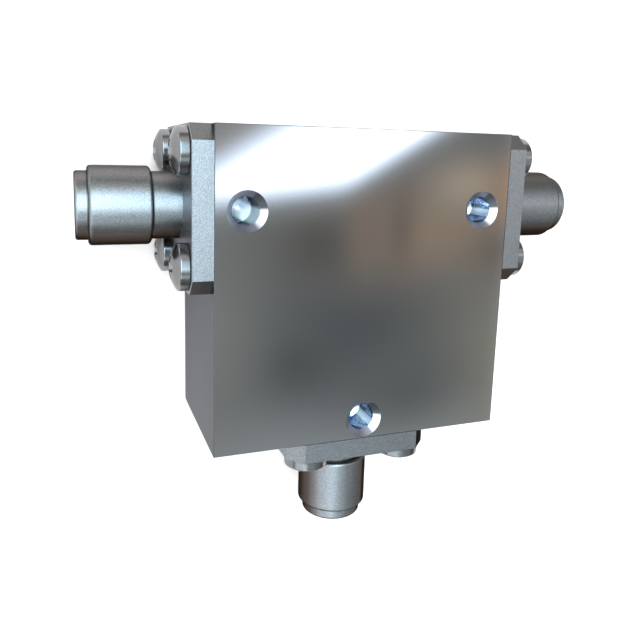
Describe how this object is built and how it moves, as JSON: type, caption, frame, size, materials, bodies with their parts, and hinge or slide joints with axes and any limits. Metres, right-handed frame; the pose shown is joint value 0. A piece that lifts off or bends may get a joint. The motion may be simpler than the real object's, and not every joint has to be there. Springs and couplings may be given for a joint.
{
  "type": "rf circulator",
  "caption": "Square-bodied coaxial junction circulator with flanged threaded jacks on its sides, countersunk tapped mounting holes in its polished front and a screw-in lid behind.",
  "frame": {"origin": "middle of the flat back face of the block", "axes": "+Z out of the polished front face, +X to its right through the right jack, +Y towards its upper edge, away from the bottom jack"},
  "size_m": [0.0444, 0.0349, 0.0127],
  "materials": {
    "plated_block": "polished",
    "jack_steel": "satin",
    "screw_steel": "polished",
    "white_insulator": "satin",
    "gold_plate": "polished",
    "silver_plate": "satin",
    "ferrite": "satin",
    "white_ceramic": "matte",
    "magnet": "satin",
    "plate_steel": "satin",
    "ring_brass": "satin"
  },
  "bodies": {
    "root": {"bottom_jack_contact": "gold_plate", "bottom_jack_insulator": "white_insulator", "bottom_jack_screws": "screw_steel", "bottom_jack_shell": "jack_steel", "centre_conductor": "silver_plate", "front_dielectric_ring": "white_ceramic", "front_ferrite_disc": "ferrite", "front_ground_plate": "silver_plate", "front_magnet": "magnet", "front_magnet_ring": "ring_brass", "front_pole_plate": "plate_steel", "front_temperature_disc": "plate_steel", "housing": "plated_block", "left_jack_contact": "gold_plate", "left_jack_insulator": "white_insulator", "left_jack_screws": "screw_steel", "left_jack_shell": "jack_steel", "rear_dielectric_ring": "white_ceramic", "rear_ferrite_disc": "ferrite", "rear_ground_plate": "silver_plate", "rear_lid": "plated_block", "rear_magnet": "magnet", "rear_magnet_ring": "ring_brass", "rear_pole_plate": "plate_steel", "rear_temperature_disc": "plate_steel", "right_jack_contact": "gold_plate", "right_jack_insulator": "white_insulator", "right_jack_screws": "screw_steel", "right_jack_shell": "jack_steel"}
  },
  "joints": []
}
